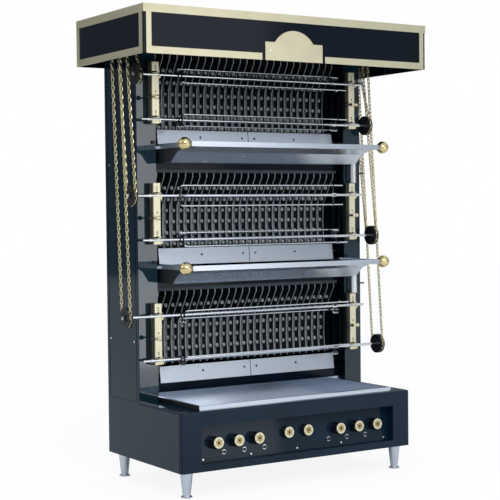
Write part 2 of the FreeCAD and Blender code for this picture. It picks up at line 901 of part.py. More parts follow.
def loop_face(lower, upper, radius, x):
    """The area inside a belt line round two equal wheels, in a plane across X."""
    y0, z0 = lower
    y1, z1 = upper
    length = math.hypot(y1 - y0, z1 - z0)
    along_y = (y1 - y0) / length
    along_z = (z1 - z0) / length
    side_y = along_z * radius
    side_z = -along_y * radius
    a = Vector(x, y0 + side_y, z0 + side_z)
    b = Vector(x, y1 + side_y, z1 + side_z)
    top = Vector(x, y1 + along_y * radius, z1 + along_z * radius)
    c = Vector(x, y1 - side_y, z1 - side_z)
    d = Vector(x, y0 - side_y, z0 - side_z)
    bottom = Vector(x, y0 - along_y * radius, z0 - along_z * radius)
    edges = [Part.LineSegment(a, b).toShape(), Part.Arc(b, top, c).toShape(),
             Part.LineSegment(c, d).toShape(), Part.Arc(d, bottom, a).toShape()]
    return Part.Face(Part.Wire(edges))


def drive_chains():
    """One closed chain loop for each spit, from its wheel up to the drive shaft."""
    solids = []
    for index in range(len(spit_z)):
        side = driven_side(index)
        x = side * wheel_plane(index) - chain_width / 2
        lower = (spit_y, spit_z[index])
        upper = (drive_y(side), drive_axle_z)
        outer = loop_face(lower, upper, chain_inner_radius + chain_depth, x)
        inner = loop_face(lower, upper, chain_inner_radius, x)
        solids.append(outer.cut(inner).extrude(Vector(chain_width, 0, 0)))
    return solids


def drive_shaft(side):
    """A shaft in the hood with one chain wheel for each spit of its side."""
    y = drive_y(side)
    z = drive_axle_z
    solids = [rod((side * shaft_start, y, z), (side * shaft_end, y, z), drive_shaft_radius)]
    for n in range(tier_count):
        x = side * (wheel_plane_first + n * wheel_plane_step)
        bore = rod((x - wheel_thickness, y, z), (x + wheel_thickness, y, z),
                   drive_shaft_radius)
        solids.append(wheel(x, y, z).cut(bore))
    return solids


def gear_motors():
    """A gear motor in the head of each column, and an outer bearing for each shaft."""
    solids = []
    half = bearing_half
    outer = shaft_end - bearing_inset
    for side in (-1, 1):
        y = drive_y(side)
        body = box(inner_x + sheet, shaft_start, y - gear_half, y + gear_half,
                   drive_axle_z - gear_half - gear_drop, drive_axle_z + gear_half)
        plate = box(outer - bearing_thickness, outer, y - half, y + half,
                    drive_axle_z - half, hood_top - sheet)
        bore = rod((shaft_start, y, drive_axle_z), (outer + past, y, drive_axle_z),
                   drive_shaft_radius + bearing_gap)
        pair = [body, plate.cut(bore)]
        solids += pair if side > 0 else [mirrored(piece) for piece in pair]
    return solids


def hood_casing():
    """The overhanging hood: an open bottomed shell that caps the columns."""
    outer = box(-half_hood, half_hood, hood_front, back_y, hood_bottom, hood_top)
    inner = box(-half_hood + sheet, half_hood - sheet, hood_front + sheet, back_y - sheet,
                hood_bottom - past, hood_top - sheet)
    behind = box(-half_body, half_body, back_y - 2 * sheet, back_y + past,
                 hood_bottom - past, hood_bottom + hood_lap)
    return [outer.cut(inner).cut(behind)]


def hood_trim():
    """Brass strips round the front and the two sides of the hood."""
    low = hood_bottom + trim_bottom
    high = hood_top - trim_top
    front = hood_front - trim_sheet
    edge = half_hood - trim_front_gap
    side_start = hood_front + trim_side_gap
    right = [box(badge_half + badge_clearance, edge, front, hood_front, hood_bottom, low),
             box(edge - trim_upright, edge, front, hood_front, low, high),
             box(half_hood, half_hood + trim_sheet, side_start, back_y, hood_bottom, low),
             box(half_hood, half_hood + cornice_width, hood_front, back_y, high, hood_top)]
    for y in (side_start, back_y - trim_upright):
        right.append(box(half_hood, half_hood + trim_sheet, y, y + trim_upright, low, high))
    top = box(-half_hood - cornice_width, half_hood + cornice_width, front, hood_front, high, hood_top)
    return right + [mirrored(strip) for strip in right] + [top]


def badge_face(edge):
    """The arched outline of the badge, drawn in by edge all round."""
    half = badge_half - edge
    spring = badge_spring - edge / 2
    low = hood_bottom + edge
    high = hood_bottom + badge_shoulder - edge
    y = hood_front
    points = [Vector(-spring, y, high), Vector(-half, y, high), Vector(-half, y, low),
              Vector(half, y, low), Vector(half, y, high), Vector(spring, y, high)]
    edges = [Part.LineSegment(points[n], points[n + 1]).toShape() for n in range(5)]
    crown = Vector(0, y, high + badge_rise)
    edges.append(Part.Arc(points[5], crown, points[0]).toShape())
    return Part.Face(Part.Wire(edges))


def badge():
    """A plain arched plate with a raised border in the middle of the front trim."""
    plate = badge_face(0).extrude(Vector(0, -badge_sheet, 0))
    field = badge_face(badge_border).extrude(Vector(0, -badge_sheet, 0))
    field.translate(Vector(0, -badge_sheet + badge_recess, 0))
    return [plate.cut(field)]


def tray_outline(top, inset, roof):
    """Section of a drip tray: lip, flange, folded slope, flat floor and back."""
    front = tray_front_y + inset
    shelf = top - tray_lip
    low = top - tray_depth + inset
    bend = tray_front_y + tray_flange + inset / 2
    return [(front, roof), (front, shelf + inset), (bend, shelf + inset),
            (bend + tray_fold_run, shelf - tray_fold_drop + inset),
            (bend + tray_slope_run, low), (tray_back_y - inset, low),
            (tray_back_y - inset, roof)]


def tray_top(tier):
    """Top of a tray's lip, set by the spits above it."""
    return spit_z[2 * tier + 1] - tray_below_spit


def runner_top(tier):
    """Level of the ledges that a tray's arms slide on."""
    return tray_top(tier) - tray_lip - fit_gap


def tray(tier):
    """A drip tray with side arms that slide on the runners."""
    top = tray_top(tier)
    shelf = top - tray_lip
    outer = profile(tray_outline(top, 0.0, top), -tray_half_length, tray_half_length)
    hollow = profile(tray_outline(top, tray_sheet, top + past), -tray_half_length + tray_sheet,
                     tray_half_length - tray_sheet)
    low_back = box(-tray_half_length - past, tray_half_length + past,
                   tray_back_y - 2 * tray_sheet, tray_back_y + past,
                   top - tray_depth + tray_back_height, top + past)
    arm = box(tray_half_length - tray_sheet, inner_x - tray_arm_play, face_y + tray_arm_start,
              back_y - tray_arm_end_gap, shelf, shelf + tray_arm_height)
    return [fuse([outer.cut(hollow).cut(low_back)] + both_sides(arm))]


def tray_knobs(tier):
    """Ball ended rails at the two ends of a tray's lip."""
    z = tray_top(tier) - tray_lip / 2
    y = tray_front_y + tray_lip / 2
    neck = rod((tray_half_length, y, z), (tray_knob_x, y, z), tray_neck_radius)
    ball = Part.makeSphere(tray_knob_radius, Vector(tray_knob_x, y, z))
    return both_sides(fuse([neck, ball]))


def tray_runners():
    """Ledges under and over the trays' arms, and a lug beside each tray."""
    solids = []
    start = face_y + runner_start
    end = back_y - runner_end_gap
    for tier in (1, 2):
        low = runner_top(tier)
        high = low + tray_arm_height + 2 * fit_gap
        for z in (low - runner_ledge, high):
            solids += both_sides(box(inner_x - runner_width, inner_x, start, end,
                                     z, z + runner_ledge))
        half = tray_lug / 2
        solids += both_sides(box(tray_lug_x - half, tray_lug_x + half, face_y - half, face_y,
                                 tray_top(tier), tray_top(tier) + tray_lug))
    return solids


def drip_pan():
    """The sunk pan on the cabinet, with a turned down rim and a higher back."""
    top = base_top + pan_rim
    back_top = base_top + pan_back_rim
    low = base_top - pan_sunk
    edge = pan_rim_width - pan_sheet
    half = pan_half_length
    inset = pan_foot_inset
    rim = box(-half, half, pan_front_y, pan_back_y, top - pan_rim_band, top)
    foot = box(-half + inset, half - inset, pan_front_y + inset, pan_back_y, base_top,
               top - pan_rim_band)
    rise = box(-half, half, pan_back_y - 2 * pan_sheet, pan_back_y, top - pan_rim_band,
               back_top)
    tub = box(-half + edge, half - edge, pan_front_y + edge, pan_back_y, low, top)
    hollow = box(-half + pan_rim_width, half - pan_rim_width, pan_front_y + pan_rim_width,
                 pan_back_y - pan_sheet, low + pan_sheet, back_top + past)
    under = box(-half + inset + pan_sheet, half - inset - pan_sheet,
                pan_front_y + inset + pan_sheet, pan_back_y - pan_sheet, base_top - past,
                top - pan_sheet)
    skirt = rim.fuse(foot).cut(under)
    return [fuse([skirt, tub, rise]).cut(hollow)]


def screw_disc(place, direction):
    """A round screw head standing on a surface."""
    return Part.makeCylinder(screw_radius, screw_head, Vector(*place), Vector(*direction))


def screws():
    """Screw heads on the panel, the badge and the side panels."""
    solids = []
    reach = recess_half - panel_screw_inset
    for n in range(panel_screws):
        x = -reach + 2 * reach * n / (panel_screws - 1)
        head = Part.makeCylinder(panel_screw_radius, screw_head)
        solids.append(on_panel(head, x, recess_bottom + panel_screw_up))
    for side in (-1, 1):
        solids.append(screw_disc((side * badge_screw_x,
                                  hood_front - badge_sheet + badge_recess,
                                  hood_bottom + badge_screw_up), (0, -1, 0)))
        for y in (face_y + side_screw_in, back_y - side_screw_in):
            for z in (base_top + side_screw_up, side_seam_z + side_screw_up):
                solids.append(screw_disc((side * half_body, y, z), (side, 0, 0)))
    return solids


def main():
    """Write every named piece."""
    save("base_cabinet", base_cabinet())
    save("control_panel", control_panel())
    save("legs", legs())
    save("right_upright", [upright(right_drive_y)])
    save("left_upright", [mirrored(upright(left_drive_y))])
    save("back_panel", back_panel())
    save("hood_casing", hood_casing())
    save("hood_trim", hood_trim())
    save("badge", badge())
    save("radiant_castings", radiant_castings())
    save("burners", burners())
    save("gas_pipework", gas_pipework())
    save("spit_brackets", spit_brackets())
    save("bracket_blocks", bracket_blocks())
    save("lock_pins", lock_pins())
    save("catch_barrels", catch_barrels())
    save("drive_chains", drive_chains())
    save("gear_motors", gear_motors())
    save("igniter_bezels", igniter_bezels())
    save("tray_runners", tray_runners())
    save("screws", screws())
    save("left_drive_shaft", drive_shaft(-1))
    save("right_drive_shaft", drive_shaft(1))
    for index in range(len(spit_z)):
        number = str(index + 1)
        save("spit_shaft_" + number, spit_shaft(index))
        save("spit_wheel_" + number, spit_wheel(index))
        save("spit_fork_" + number, spit_fork(index))
    for tier, name in ((1, "middle"), (2, "upper")):
        save("drip_tray_" + name, tray(tier))
        save("tray_knobs_" + name, tray_knobs(tier))
    save("bottom_pan", drip_pan())
    for n, x in enumerate(knob_x):
        save("control_knob_" + str(n + 1), knob(x))
    for n, x in enumerate(button_x):
        save("igniter_button_" + str(n + 1), igniter_button(x))


main()
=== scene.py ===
import math

import bpy
from bpy.props import FloatProperty, FloatVectorProperty, IntProperty, PointerProperty
from mathutils import Matrix, Vector


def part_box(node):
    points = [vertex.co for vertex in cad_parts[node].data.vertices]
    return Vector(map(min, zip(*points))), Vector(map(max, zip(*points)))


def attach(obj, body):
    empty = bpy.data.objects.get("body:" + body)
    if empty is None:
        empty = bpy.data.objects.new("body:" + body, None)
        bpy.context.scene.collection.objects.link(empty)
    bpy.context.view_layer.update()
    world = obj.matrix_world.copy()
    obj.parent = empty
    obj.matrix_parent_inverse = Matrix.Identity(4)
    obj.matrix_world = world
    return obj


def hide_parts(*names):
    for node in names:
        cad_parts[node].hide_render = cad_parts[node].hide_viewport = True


bl_info = {
    "name": "Chicken rotisserie",
    "version": (1, 0, 0),
    "blender": (4, 5, 0),
    "location": "3D View > Sidebar > Rotisserie",
    "description": "Dresses the rotisserie's solids with finishes, chains and small fittings",
    "category": "Object",
}

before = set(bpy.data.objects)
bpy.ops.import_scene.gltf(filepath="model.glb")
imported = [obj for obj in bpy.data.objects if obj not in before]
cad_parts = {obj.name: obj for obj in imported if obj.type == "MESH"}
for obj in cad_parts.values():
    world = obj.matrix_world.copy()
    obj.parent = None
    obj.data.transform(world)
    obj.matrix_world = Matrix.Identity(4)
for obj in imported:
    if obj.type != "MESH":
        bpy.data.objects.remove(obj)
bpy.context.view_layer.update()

SPITS = (1, 2, 3, 4, 5, 6)
KNOBS = (1, 2, 3, 4, 5, 6, 7, 8)
BUTTONS = (1, 2, 3, 4, 5, 6)
TRAYS = ("middle", "upper")
TIERS = 3

# Sizes of the solids, in metres

NEAR = 0.001
LEVER_REACH = 0.0402
BOLT_CIRCLE = 0.0235
PANEL_LEAN = math.atan2(0.013, 0.148)
CASTINGS = 3
FINS = 9
CASTING_GAP = 0.001
FIN = 0.004
FIN_EDGE = ((0.0, 0.071), (0.090, 0.079), (0.179, 0.075), (0.294, 0.0), (0.325, 0.0))
TOP_BAR = 0.013
TRAY_LIP = 0.020
PLATE_FRONT = -0.007
BRACKET_X = 0.491
BRACKET_SCREW_UP = 0.0125
FORK_LEFT = 0.379
FORK_RIGHT = 0.392
WING_HALF = 0.013
WING_TIP = 0.028
WING_REACH = 0.032
DIAL_DISH = 0.0145
DIAL_FACE = 0.004
DIAL_DEPTH = 0.0069
DIAL_LEAN = 0.0875
DISH_RISE = 0.002
MIDDLE_KNOBS = 0.1
SHORT_GRIP = 0.012
LONG_GRIP = 0.027
PAN_END = 0.005
TRAY_END = 0.0545
TRAY_ARM_FRONT = 0.059
MARK_DEPTHS = (0.0004, 0.0035)
MARK_HALF = 0.006
CLAMP_REACH = (0.0103, 0.038)
BLACK_BALL = 0.027
RIGHT_PIN = 0.0705
PIN_GAP = 0.015
CHAIN_RADIUS = 0.036


def middle_of(node):
    """Centre of a node's box."""
    low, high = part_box(node)
    return (Vector(low) + Vector(high)) / 2


def fin_edge(height):
    """How far a fin's front edge lies behind the top bar's, at a height on the casting."""
    for (low, near), (high, far) in zip(FIN_EDGE, FIN_EDGE[1:]):
        if height <= high:
            return near + (far - near) * (height - low) / (high - low)
    return FIN_EDGE[-1][1]


def spit_height(number):
    """Height of a spit's axis, read from its chain wheel."""
    return middle_of("spit_wheel_%d" % number).z


def knob_front(number):
    """The middle of a knob's rim, the axis out of it, and a turn with Z along that axis."""
    name = "control_knob_%d" % number
    axis = Vector((0, -math.cos(PANEL_LEAN), math.sin(PANEL_LEAN)))
    up = Vector((0, math.sin(PANEL_LEAN), math.cos(PANEL_LEAN)))
    spots = [vert.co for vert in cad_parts[name].data.vertices]
    reach = max(spot.dot(axis) for spot in spots)
    rim = [spot for spot in spots if spot.dot(axis) > reach - NEAR / 10]
    centre = sum(rim, Vector()) / len(rim)
    centre.x = middle_of(name).x
    return centre, axis, Matrix((Vector((1, 0, 0)), up, axis)).transposed().to_4x4()


# Finishes are written as sums on sockets


class Term:
    """One socket of a finish, which takes part in sums."""

    def __init__(self, finish, socket):
        self.finish = finish
        self.socket = socket

    def math(self, operation, left, right=0.0):
        return self.finish.node("ShaderNodeMath", {"operation": operation}, {0: left, 1: right})

    def __add__(self, other):
        return self.math("ADD", self, other)

    def __radd__(self, other):
        return self.math("ADD", other, self)

    def __sub__(self, other):
        return self.math("SUBTRACT", self, other)

    def __rsub__(self, other):
        return self.math("SUBTRACT", other, self)

    def __mul__(self, other):
        return self.math("MULTIPLY", self, other)

    def __rmul__(self, other):
        return self.math("MULTIPLY", other, self)

    def above(self, level):
        return self.math("GREATER_THAN", self, level)

    def band(self, start, end):
        """0 up to start, 1 from end on, smooth between."""
        return self.finish.node(
            "ShaderNodeMapRange", {"interpolation_type": "SMOOTHSTEP"},
            {"Value": self, "From Min": start, "From Max": end})


class Finish:
    """A material built up from expressions."""

    def __init__(self, name):
        self.material = bpy.data.materials.new(name)
        self.material.use_nodes = True
        self.tree = self.material.node_tree
        self.tree.nodes.clear()

    def node(self, kind, settings=None, sockets=None, out=0):
        """Add a node, set it up, feed its sockets and hand back one output."""
        made = self.tree.nodes.new(kind)
        for key, value in (settings or {}).items():
            if key == "stops":
                self.fill_ramp(made.color_ramp, value)
            else:
                setattr(made, key, value)
        for key, value in (sockets or {}).items():
            socket = made.inputs[key]
            if isinstance(value, Term):
                self.tree.links.new(value.socket, socket)
            else:
                socket.default_value = value
        return Term(self, made.outputs[out])

    def fill_ramp(self, ramp, stops):
        while len(ramp.elements) < len(stops):
            ramp.elements.new(0.5)
        for element, (place, colour) in zip(ramp.elements, stops):
            element.position = place
            element.color = colour

    def place(self, scale=(1, 1, 1), turn=(0, 0, 0)):
        """Object coordinates in metres, stretched and turned."""
        spot = self.node("ShaderNodeTexCoord", out="Object")
        return self.node("ShaderNodeMapping", {}, {"Vector": spot, "Scale": scale,
                                                   "Rotation": turn})

    def split(self, kind):
        """Coordinates of one kind, such as Object or Normal, as three numbers."""
        whole = self.node("ShaderNodeTexCoord", out=kind)
        parts = self.tree.nodes.new("ShaderNodeSeparateXYZ")
        self.tree.links.new(whole.socket, parts.inputs[0])
        return [Term(self, parts.outputs[n]) for n in range(3)]

    def noise(self, scale, detail=3.0, rough=0.5, stretch=(1, 1, 1), turn=(0, 0, 0)):
        return self.node("ShaderNodeTexNoise", {},
                         {"Vector": self.place(stretch, turn), "Scale": scale,
                          "Detail": detail, "Roughness": rough})

    def mix(self, share, first, second):
        """One colour going over to another."""
        return self.node("ShaderNodeMix", {"data_type": "RGBA"},
                         {0: share, 6: first, 7: second}, out=2)

    def bump(self, height, strength, distance=0.001):
        return self.node("ShaderNodeBump", {},
                         {"Strength": strength, "Distance": distance, "Height": height})

    def surface(self, colour, rough, metal=0.0, bump=None, **fixed):
        """Close the finish with one Principled shader."""
        sockets = {"Base Color": colour, "Roughness": rough, "Metallic": metal}
        if bump is not None:
            sockets["Normal"] = bump
        for key, value in fixed.items():
            sockets[key.replace("_", " ")] = value
        shader = self.node("ShaderNodeBsdfPrincipled", {}, sockets)
        self.node_end(shader)
        return self.material

    def node_end(self, shader):
        end = self.tree.nodes.new("ShaderNodeOutputMaterial")
        self.tree.links.new(shader.socket, end.inputs["Surface"])


def rgba(colour):
    return (colour[0], colour[1], colour[2], 1.0)


def shade(colour, factor):
    return (colour[0] * factor, colour[1] * factor, colour[2] * factor, 1.0)


def enamel_finish(name, colour, rough, index):
    """Glossy stoved enamel: faint clouding, orange peel and a film of dust."""
    f = Finish(name)
    cloud = f.noise(3.1, 4.0, 0.55)
    peel = f.noise(260.0, 2.0, 0.4)
    wave = f.noise(5.0, 1.0, 0.3)
    dust = f.noise(38.0, 5.0, 0.65).band(0.55, 0.8)
    tone = f.mix(cloud.band(0.3, 0.7), shade(colour, 0.88), shade(colour, 1.14))
    tone = f.mix(dust * 0.006, tone, (0.30, 0.31, 0.33, 1.0))
    gloss = rough + 0.02 * cloud + 0.1 * dust
    skin = f.bump(peel * 0.12 + wave, 0.05, 0.001)
    return f.surface(tone, gloss, 0.0, skin, IOR=index)


def satin_black_finish(name, colour):
    """Satin black paint with rubbed high spots."""
    f = Finish(name)
    rub = f.noise(160.0, 4.0, 0.6)
    cloud = f.noise(18.0, 3.0, 0.5)
    tone = f.mix(rub.band(0.62, 0.8) * 0.35, shade(colour, 0.9), (0.09, 0.09, 0.095, 1.0))
    return f.surface(tone, 0.3 + 0.18 * cloud, 0.0, f.bump(rub, 0.14, 0.0008))


def brushed_finish(name, colour, rough, along, scale=260.0, near_black_below=None):
    """Sheet metal with a fine grain, faint clouding and, if asked, a near-black, rougher,
    non-metal finish below a given height.
    """
    f = Finish(name)
    stretch = [1.0, 1.0, 1.0]
    stretch["XYZ".index(along)] = 0.02
    grain = f.noise(scale, 3.0, 0.6, tuple(stretch))
    cloud = f.noise(4.5, 3.0, 0.5)
    smear = f.noise(22.0, 4.0, 0.6)
    tone = f.mix(grain.band(0.3, 0.7), shade(colour, 0.97), shade(colour, 1.03))
    tone = f.mix(cloud.band(0.45, 0.85) * 0.12, tone, shade(colour, 0.78))
    gloss = rough + 0.02 * (grain - 0.5) + 0.05 * smear
    metal = 1.0
    # Below the given height the sheet turns near-black, non-metal and rougher.
    if near_black_below is not None:
        metal = f.split("Object")[2].above(near_black_below)
        tone = f.mix(metal, (0.004, 0.005, 0.008, 1.0), tone)
        gloss = gloss + 0.25 * (1.0 - metal)
    return f.surface(tone, gloss, metal, f.bump(grain, 0.015, 0.0003))


def polished_finish(name, colour, rough):
    """Turned and polished bar with faint rings and fingermarks."""
    f = Finish(name)
    mark = f.noise(60.0, 4.0, 0.6)
    scratch = f.noise(700.0, 2.0, 0.5, (0.05, 1.0, 1.0))
    tone = f.mix(mark.band(0.5, 0.8) * 0.25, rgba(colour), shade(colour, 0.7))
    return f.surface(tone, rough + 0.1 * mark, 1.0, f.bump(scratch, 0.08, 0.0004))


def brass_finish(name, colour, rough, tarnish, grain_along="X"):
    """Lacquered brass: grain, soft tarnish and rubbed bright patches."""
    f = Finish(name)
    stretch = [1.0, 1.0, 1.0]
    stretch["XYZ".index(grain_along)] = 0.04
    grain = f.noise(300.0, 2.0, 0.5, tuple(stretch))
    cloud = f.noise(11.0, 5.0, 0.6)
    speck = f.noise(90.0, 4.0, 0.7)
    dark = (colour[0] * 0.52, colour[1] * 0.46, colour[2] * 0.38, 1.0)
    tone = f.mix(cloud.band(0.42, 0.78) * tarnish, rgba(colour), dark)
    tone = f.mix(speck.band(0.64, 0.8) * tarnish * 0.8, tone, dark)
    gloss = rough + 0.14 * cloud + 0.06 * (grain - 0.5)
    return f.surface(tone, gloss, 1.0, f.bump(grain + speck, 0.09, 0.0006))


def iron_finish(name, colour, edge):
    """Rough cast iron: pitted, scaled by heat, with a paler tone on the front-facing edges that
    is painted light.
    """
    f = Finish(name)
    pit = f.noise(240.0, 6.0, 0.7)
    scale = f.noise(30.0, 5.0, 0.6)
    front = (0.0 - f.split("Normal")[1]).band(0.55, 0.95)
    tone = f.mix(scale.band(0.35, 0.65), shade(colour, 0.45), shade(colour, 1.6))
    tone = f.mix(scale.band(0.6, 0.8) * 0.3, tone, (0.08, 0.06, 0.045, 1.0))
    # Paler tone on front-facing faces, painted light, broken up by the pits.
    painted_front_light = front * (0.45 + 0.5 * pit.band(0.3, 0.6))
    tone = f.mix(painted_front_light, tone, rgba(edge))
    return f.surface(tone, 0.6 + 0.25 * pit, 0.0, f.bump(pit + scale * 0.6, 0.5, 0.0015))


def plastic_finish(name, colour):
    """Moulded phenolic: glossy with swirl marks."""
    f = Finish(name)
    swirl = f.noise(120.0, 3.0, 0.6)
    tone = f.mix(swirl.band(0.5, 0.8) * 0.3, rgba(colour), shade(colour, 2.2))
    return f.surface(tone, 0.2 + 0.16 * swirl, 0.0, f.bump(swirl, 0.05, 0.0005))


finishes = {}


def make_finishes(tones):
    """All the finishes, from the user's colours."""
    finishes["enamel"] = enamel_finish("slate enamel", tones.enamel, 0.06, 1.33)
    # The columns' fronts get a lighter copy of the cabinet enamel, which is painted light.
    finishes["column_enamel_painted_light"] = enamel_finish("mirror slate enamel with painted light", tones.column_enamel_painted_light,
                                              0.03, 2.0)
    # The right column's front gets the same lighter colour, less glossy, also painted light.
    finishes["soft_enamel_painted_light"] = enamel_finish("less glossy slate enamel with painted light", tones.column_enamel_painted_light,
                                            0.06, 1.6)
    # A darker copy of the enamel for the hood, the columns' inner faces and the back panel's
    # front, which is painted shade.
    finishes["hood_enamel_painted_shade"] = enamel_finish("hood enamel darkened as painted shade", tones.hood_enamel_painted_shade, 0.1, 1.3)
    finishes["black"] = satin_black_finish("satin black paint", (0.006, 0.006, 0.008))
    finishes["sheet"] = brushed_finish("brushed stainless sheet", tones.stainless, 0.24, "X")
    # The burner covers get a darker copy of the stainless, which is painted shade.
    finishes["cover"] = brushed_finish("brushed burner covers darkened as painted shade",
                                       shade(tones.stainless, 0.82), 0.32, "X")
    finishes["pan"] = brushed_finish("polished pan", tones.stainless, 0.12, "X")
    # The ends of each tray turn near-black below its shelf.
    for name in TRAYS:
        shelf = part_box("drip_tray_" + name)[1][2] - TRAY_LIP
        finishes["end_" + name] = brushed_finish("end of %s tray" % name, tones.stainless,
                                                 0.3, "Y", 260.0, shelf)
    finishes["legs"] = brushed_finish("turned stainless legs", tones.stainless, 0.24, "X", 500.0)
    finishes["rod"] = polished_finish("polished steel bar", (0.82, 0.83, 0.85), 0.1)
    finishes["dark_steel"] = polished_finish("blackened steel", (0.05, 0.05, 0.055), 0.28)
    finishes["trim"] = brass_finish("satin brass trim", tones.trim_brass, 0.32, 0.22)
    finishes["bracket"] = brass_finish("pale bracket brass", tones.bracket_brass, 0.38, 0.12, "Z")
    finishes["ball"] = brass_finish("polished brass", (0.82, 0.66, 0.34), 0.08, 0.3)
    # The darker brass of the dials' dishes is painted shade.
    finishes["dish"] = brass_finish("dial brass darkened as painted shade", (0.52, 0.40, 0.18), 0.3, 0.3)
    finishes["chain"] = brass_finish("chain brass", tones.chain_brass, 0.24, 0.5)
    finishes["pipe"] = brass_finish("pipe brass", (0.62, 0.47, 0.24), 0.3, 0.6)
    # The radiants' front-facing edges get a paler tone, which is painted light.
    finishes["iron"] = iron_finish("cast iron radiant", (0.006, 0.007, 0.009),
                                   (0.42, 0.46, 0.50))
    # The top bar of each casting gets a lighter iron, which is painted light.
    finishes["bar_iron_painted_light"] = iron_finish("cast iron top bar lightened as painted light", (0.03, 0.036, 0.045),
                                       (0.07, 0.085, 0.10))
    # The studs are drawn pale grey, which is a painted highlight on the cast iron.
    finishes["stud"] = iron_finish("pale iron stud as painted highlight", (0.50, 0.52, 0.50),
                                   (0.5, 0.52, 0.5))
    finishes["knob"] = plastic_finish("black knob plastic", (0.004, 0.004, 0.006))


def dress(node, main, *others):
    """Give a node a finish, and other finishes to the faces that pass a test."""
    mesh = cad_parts[node].data
    mesh.materials.clear()
    mesh.materials.append(finishes[main])
    for name, _ in others:
        mesh.materials.append(finishes[name])
    for face in mesh.polygons:
        face.material_index = 0
        for n, (_, test) in enumerate(others):
            if test(face.center):
                face.material_index = n + 1


# Modelling helpers


def pick_nothing():
    """Leave edit mode and deselect everything."""
    if bpy.context.mode != "OBJECT":
        bpy.ops.object.mode_set(mode="OBJECT")
    bpy.ops.object.select_all(action="DESELECT")


def pick(piece):
    """Make one piece the only selected one."""
    pick_nothing()
    piece.select_set(True)
    bpy.context.view_layer.objects.active = piece


def clear_selection(piece, mode):
    """Deselect all of a piece's mesh, and set what edit mode selects."""
    pick(piece)
    bpy.context.tool_settings.mesh_select_mode = mode
    for part in (piece.data.vertices, piece.data.edges, piece.data.polygons):
        for item in part:
            item.select = False


def select_verts(piece, test):
    """Go into edit mode with the points that pass a test."""
    clear_selection(piece, (True, False, False))
    for vert in piece.data.vertices:
        vert.select = test(vert.co)
    bpy.ops.object.mode_set(mode="EDIT")


def select_faces(piece, test):
    """Go into edit mode with the faces that pass a test."""
    clear_selection(piece, (False, False, True))
    for face in piece.data.polygons:
        face.select = test(face)
    bpy.ops.object.mode_set(mode="EDIT")


def cylinder(name, corners, radius, height, spot=None, turn=(0, 0, 0)):
    """A closed cylinder, which stands on z = 0 where no spot is given."""
    pick_nothing()
    bpy.ops.mesh.primitive_cylinder_add(vertices=corners, radius=radius, depth=height,
                                        location=spot or (0, 0, height / 2), rotation=turn)
    piece = bpy.context.object
    piece.name = name
    bpy.ops.object.transform_apply(location=True, rotation=True, scale=True)
    return piece


def smooth(piece, angle=35.0):
    """Shade a piece smooth up to an angle."""
    pick(piece)
    bpy.ops.object.shade_smooth_by_angle(angle=math.radians(angle))


def copies(model, places):
    """Copies of a model at the given places, joined into one object."""
    made = []
    for place in places:
        mesh = model.data.copy()
        mesh.transform(place)
        twin = bpy.data.objects.new(model.name, mesh)
        bpy.context.scene.collection.objects.link(twin)
        made.append(twin)
    pick_nothing()
    for twin in made:
        twin.select_set(True)
    bpy.context.view_layer.objects.active = made[0]
    if len(made) > 1:
        bpy.ops.object.join()
    return made[0]


def discard(model):
    """Remove the model that copies were made from."""
    mesh = model.data
    bpy.data.objects.remove(model)
    bpy.data.meshes.remove(mesh)


def settle(piece, name, finish, body):
    """Put a finished piece's place in its mesh, and name, dress and mount it."""
    pick(piece)
    bpy.ops.object.transform_apply(location=True, rotation=True, scale=True)
    piece.name = name
    piece.data.name = name
    piece.data.materials.clear()
    piece.data.materials.append(finishes[finish])
    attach(piece, body)
    return piece


# What a user would change


class RotisserieTones(bpy.types.PropertyGroup):
    """Colours of the finishes."""

    enamel: FloatVectorProperty(
        name="Enamel", description="Colour of the cabinet",
        subtype="COLOR", size=3, min=0.0, max=1.0, default=(0.003, 0.015, 0.030))
    # The lighter colour of the columns' fronts is painted light.
    column_enamel_painted_light: FloatVectorProperty(
        name="Column enamel", description="Colour of the columns' fronts",
        subtype="COLOR", size=3, min=0.0, max=1.0, default=(0.006, 0.022, 0.034))
    # The darker colour of the hood and the inner faces is painted shade.
    hood_enamel_painted_shade: FloatVectorProperty(
        name="Hood enamel", description="Colour of the hood's panels",
        subtype="COLOR", size=3, min=0.0, max=1.0, default=(0.001, 0.004, 0.010))
    stainless: FloatVectorProperty(
        name="Stainless", description="Colour of trays, pan, covers and legs",
        subtype="COLOR", size=3, min=0.0, max=1.0, default=(0.66, 0.71, 0.79))
    trim_brass: FloatVectorProperty(
        name="Trim brass", description="Colour of the hood's strips and badge",
        subtype="COLOR", size=3, min=0.0, max=1.0, default=(0.80, 0.74, 0.52))
    bracket_brass: FloatVectorProperty(
        name="Bracket brass", description="Colour of the spit brackets",
        subtype="COLOR", size=3, min=0.0, max=1.0, default=(0.88, 0.82, 0.60))
    chain_brass: FloatVectorProperty(
        name="Chain brass", description="Colour of the chain links",
        subtype="COLOR", size=3, min=0.0, max=1.0, default=(0.68, 0.60, 0.36))


